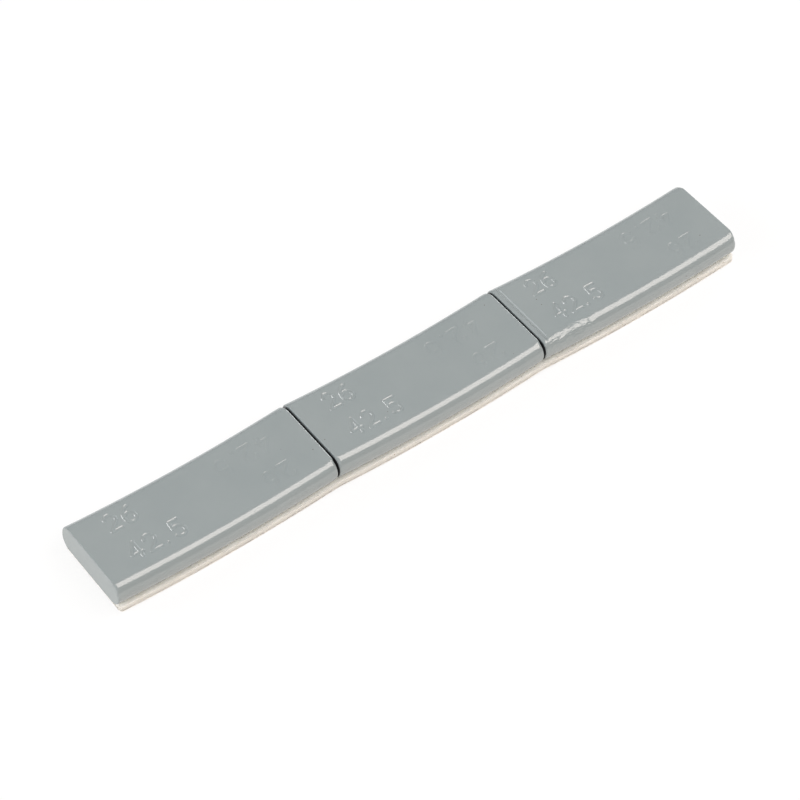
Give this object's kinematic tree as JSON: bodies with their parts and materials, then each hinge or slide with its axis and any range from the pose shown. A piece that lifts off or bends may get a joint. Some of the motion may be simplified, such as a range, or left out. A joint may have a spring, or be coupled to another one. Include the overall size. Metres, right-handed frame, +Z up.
{
  "type": "wheel balance weight",
  "caption": "Stick-on wheel balance weight: bent, grey-coated steel bars in a row on foam tape with a release liner, curved to lie inside a wheel rim.",
  "frame": {"origin": "centre of the strip's footprint, on the plane that the liner's underside rests on", "axes": "+X along the strip, +Y across it, +Z up, from the adhesive side to the coated top"},
  "size_m": [0.1523, 0.0198, 0.0083],
  "materials": {
    "coated_steel": "satin",
    "foam": "matte",
    "liner_paper": "matte"
  },
  "bodies": {
    "root": {"left_segment": "coated_steel", "middle_segment": "coated_steel", "right_segment": "coated_steel", "foam_tape": "foam", "release_liner": "liner_paper"}
  },
  "joints": []
}
